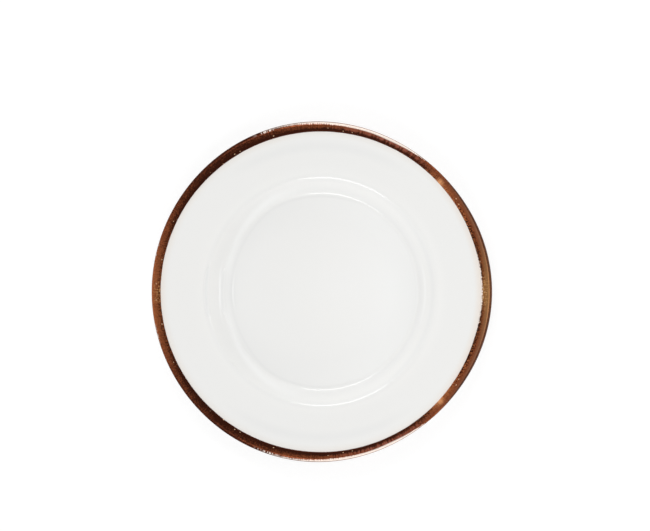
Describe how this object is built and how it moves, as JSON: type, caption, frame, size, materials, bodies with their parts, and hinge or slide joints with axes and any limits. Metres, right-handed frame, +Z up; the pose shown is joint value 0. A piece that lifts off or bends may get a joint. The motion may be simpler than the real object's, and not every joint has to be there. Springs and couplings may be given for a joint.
{
  "type": "china dinner plate",
  "caption": "Round white china dinner plate with a wide sloping rim, a shallow well, a bare foot ring and a copper lustre band over the lip.",
  "frame": {"origin": "on the table, in the middle of the foot ring", "axes": "+Z up along the plate's axis; X and Y lie in the table and are alike, because the plate is round"},
  "size_m": [0.27, 0.27, 0.0232],
  "materials": {
    "bisque": "matte",
    "white_glaze": "gloss",
    "copper_lustre": "gloss"
  },
  "bodies": {
    "root": {"porcelain_body": "bisque", "glaze_coat": "white_glaze", "base_glaze": "white_glaze", "rim_band": "copper_lustre"}
  },
  "joints": []
}
